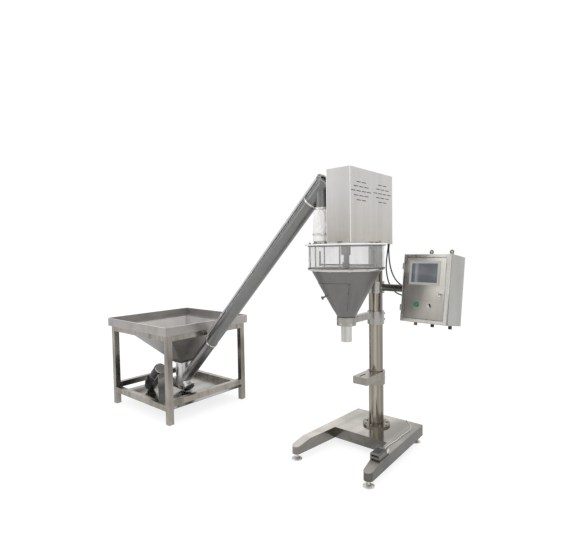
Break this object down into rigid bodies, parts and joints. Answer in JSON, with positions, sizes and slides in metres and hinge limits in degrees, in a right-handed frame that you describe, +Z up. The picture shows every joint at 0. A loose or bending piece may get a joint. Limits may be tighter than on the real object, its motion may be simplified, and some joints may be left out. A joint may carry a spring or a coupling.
{
  "type": "auger powder filler",
  "caption": "Column-mounted auger powder filler with a conical hopper, swivelling control cabinet, foot pedal and an inclined screw feeder with its floor hopper.",
  "frame": {"origin": "centre of the machine's footprint at floor level, measured without the free cord", "axes": "+X along the row of machines from the feeder to the cabinet, to the operator's right; +Y to the rear; +Z up"},
  "size_m": [3.1548, 1.227, 2.066],
  "materials": {
    "stainless": "brushed",
    "polished_steel": "polished",
    "painted_cone": "satin",
    "tube_steel": "satin",
    "frame_steel": "satin",
    "acrylic": "clear",
    "cloth": "woven",
    "black_rubber": "matt",
    "black_paint": "satin",
    "black_plastic": "matt",
    "white_cord": "matt",
    "green_plastic": "gloss",
    "grey_plastic": "matt",
    "treadle_grey": "textured",
    "arm_black": "satin",
    "chrome": "mirror"
  },
  "bodies": {
    "stand": {"base_frame": "stainless", "levelling_feet": "stainless", "outer_column": "polished_steel", "flange_bolts": "chrome", "pedal_base": "treadle_grey", "pedal_cord": "white_cord", "pedal_cord_coil": "white_cord", "pedal_plug": "white_cord", "feeder_frame": "frame_steel", "feeder_hopper": "frame_steel", "floor_plate": "frame_steel", "conveyor_tube": "tube_steel", "conveyor_head": "tube_steel", "tube_clamps": "chrome", "end_caps": "black_plastic", "conduit": "tube_steel", "gear_motor": "black_paint", "drive_case": "stainless", "sleeve_band_upper": "chrome", "cloth_sleeve": "cloth"},
    "bracket": {"support_bracket": "stainless", "bracket_bolts": "chrome"},
    "head": {"inner_column": "polished_steel", "neck_clamp": "stainless", "neck_clamp_bolts": "black_paint", "neck_collar": "polished_steel", "discharge_tube": "polished_steel", "hopper_cone": "painted_cone", "cone_hinge_pin": "polished_steel", "hopper_ring": "polished_steel", "acrylic_cylinder": "acrylic", "lid_plate": "polished_steel", "tie_rods": "polished_steel", "inlet_spigot": "stainless", "sleeve_band_lower": "chrome", "shaft_housing": "polished_steel", "motor_plate": "stainless", "motor_case": "stainless", "servo_motor": "black_paint", "agitator_motor": "black_paint", "drive_belt": "black_rubber", "cable_power": "black_rubber", "cable_signal": "black_rubber"},
    "auger": {"auger_screw": "stainless"},
    "agitator": {"agitator": "stainless", "agitator_pulley": "polished_steel"},
    "motor_pulley": {"motor_pulley": "polished_steel"},
    "cone_door": {"cone_door": "painted_cone"},
    "cabinet": {"cabinet_arm": "arm_black", "cabinet_shell": "stainless", "cable_glands": "black_plastic", "door_hinge_pins": "stainless"},
    "cabinet_door": {"cabinet_door": "stainless", "hmi_panel": "grey_plastic", "control_collars": "chrome"},
    "start_button": {"start_button": "green_plastic"},
    "selector_switch": {"selector_switch": "black_plastic"},
    "door_lock": {"door_lock": "chrome"},
    "pedal_treadle": {"pedal_treadle": "treadle_grey"},
    "feed_screw": {"conveyor_screw": "stainless"}
  },
  "joints": [
    {"name": "column_lift", "type": "slide", "parent": "stand", "child": "head", "axis": [0, 0, 1], "range_m": [0, 0.1], "deforming": ["cloth_sleeve"]},
    {"name": "bracket_slide", "type": "slide", "parent": "stand", "child": "bracket", "axis": [0, 0, 1], "range_m": [-0.2, 0]},
    {"name": "auger_spin", "type": "hinge", "parent": "head", "child": "auger", "pos_m": [0.943, -0.075, 1], "axis": [0, 0, 1], "continuous": true},
    {"name": "agitator_spin", "type": "hinge", "parent": "head", "child": "agitator", "pos_m": [0.943, -0.075, 1.4], "axis": [0, 0, 1], "continuous": true},
    {"name": "motor_pulley_spin", "type": "hinge", "parent": "head", "child": "motor_pulley", "pos_m": [0.943, 0.125, 1.62], "axis": [0, 0, 1], "continuous": true},
    {"name": "cone_door_hinge", "type": "hinge", "parent": "head", "child": "cone_door", "pos_m": [1.03144, -0.1804, 1.1605], "axis": [0.3074, -0.3663, 0.8782], "range_deg": [0, 100]},
    {"name": "cabinet_swivel", "type": "hinge", "parent": "head", "child": "cabinet", "pos_m": [0.943, 0.344, 1.215], "axis": [0, 0, 1], "range_deg": [-15, 15], "deforming": ["cable_power", "cable_signal"]},
    {"name": "cabinet_door_hinge", "type": "hinge", "parent": "cabinet", "child": "cabinet_door", "pos_m": [1.19571, 0.27745, 1.22099], "axis": [-0.0139, -0.1419, -0.9898], "range_deg": [0, 75]},
    {"name": "start_button_press", "type": "slide", "parent": "cabinet_door", "child": "start_button", "axis": [0.0966, 0.9851, -0.1426], "range_m": [0, 0.004], "stiffness_N_per_m": 300},
    {"name": "selector_turn", "type": "hinge", "parent": "cabinet_door", "child": "selector_switch", "pos_m": [1.41932, 0.23181, 1.11326], "axis": [0.0966, 0.9851, -0.1426], "range_deg": [-45, 45]},
    {"name": "door_lock_turn", "type": "hinge", "parent": "cabinet_door", "child": "door_lock", "pos_m": [1.49509, 0.23598, 1.19343], "axis": [0.0966, 0.9851, -0.1426], "range_deg": [0, 90]},
    {"name": "pedal_press", "type": "hinge", "parent": "stand", "child": "pedal_treadle", "pos_m": [1.201, -0.073, 0.157], "axis": [1, 0, 0], "range_deg": [0, 6], "stiffness_Nm_per_rad": 60, "springref_deg": -2.86},
    {"name": "feed_screw_spin", "type": "hinge", "parent": "stand", "child": "feed_screw", "pos_m": [-0.17624, -0.075, 1.04276], "axis": [0.7071, 0, 0.7071], "continuous": true}
  ],
  "couplings": [
    {"joint": "motor_pulley_spin", "follows": "agitator_spin", "ratio": 1.5}
  ]
}
